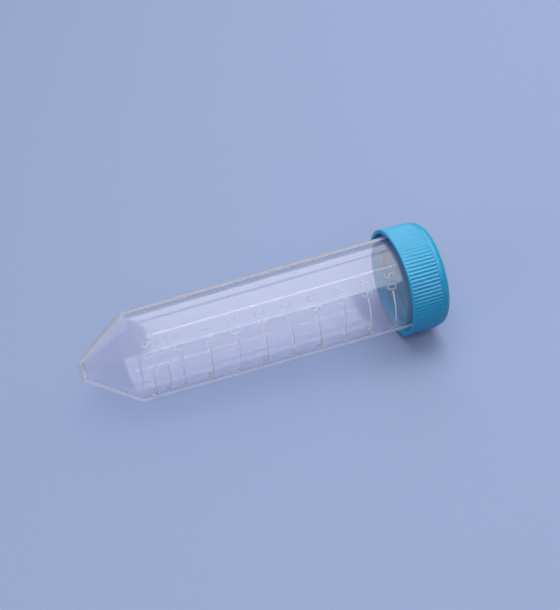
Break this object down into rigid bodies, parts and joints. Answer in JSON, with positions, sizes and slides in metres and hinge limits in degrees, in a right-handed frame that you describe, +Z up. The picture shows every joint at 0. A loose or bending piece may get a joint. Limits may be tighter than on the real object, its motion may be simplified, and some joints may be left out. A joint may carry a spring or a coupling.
{
  "type": "50 ml conical centrifuge tube",
  "caption": "Clear lidded laboratory tube with a conical end, raised volume lines and a ribbed screw cap, lying on its side.",
  "frame": {"origin": "centre of the bounding box at its bottom, on the surface that the tube lies on", "axes": "+X level, from the tip towards the cap; +Z up. The tube's own axis rises 2.27 degrees from +X towards +Z, because the cap is wider than the shoulder"},
  "size_m": [0.1174, 0.0352, 0.0353],
  "materials": {
    "clear_polypropylene": "natural translucent polypropylene, satin sheen, faintly milky",
    "seal_liner": "matt white polyethylene foam",
    "cap_plastic": "light blue polyethylene, satin"
  },
  "bodies": {
    "tube": {"tube": "clear_polypropylene"},
    "seal": {"sealing_disc": "seal_liner"},
    "cap": {"screw_cap": "cap_plastic"}
  },
  "joints": [
    {"name": "cap_lift", "type": "slide", "parent": "tube", "child": "seal", "axis": [0.9992, 0, 0.0396], "range_m": [0, 0.014]},
    {"name": "cap_turn", "type": "hinge", "parent": "seal", "child": "cap", "pos_m": [0.05038, 0, 0.0178], "axis": [0.9992, 0, 0.0396], "range_deg": [0, 1440]}
  ],
  "couplings": [
    {"joint": "cap_lift", "follows": "cap_turn", "m_per_rad": 0.000557}
  ]
}
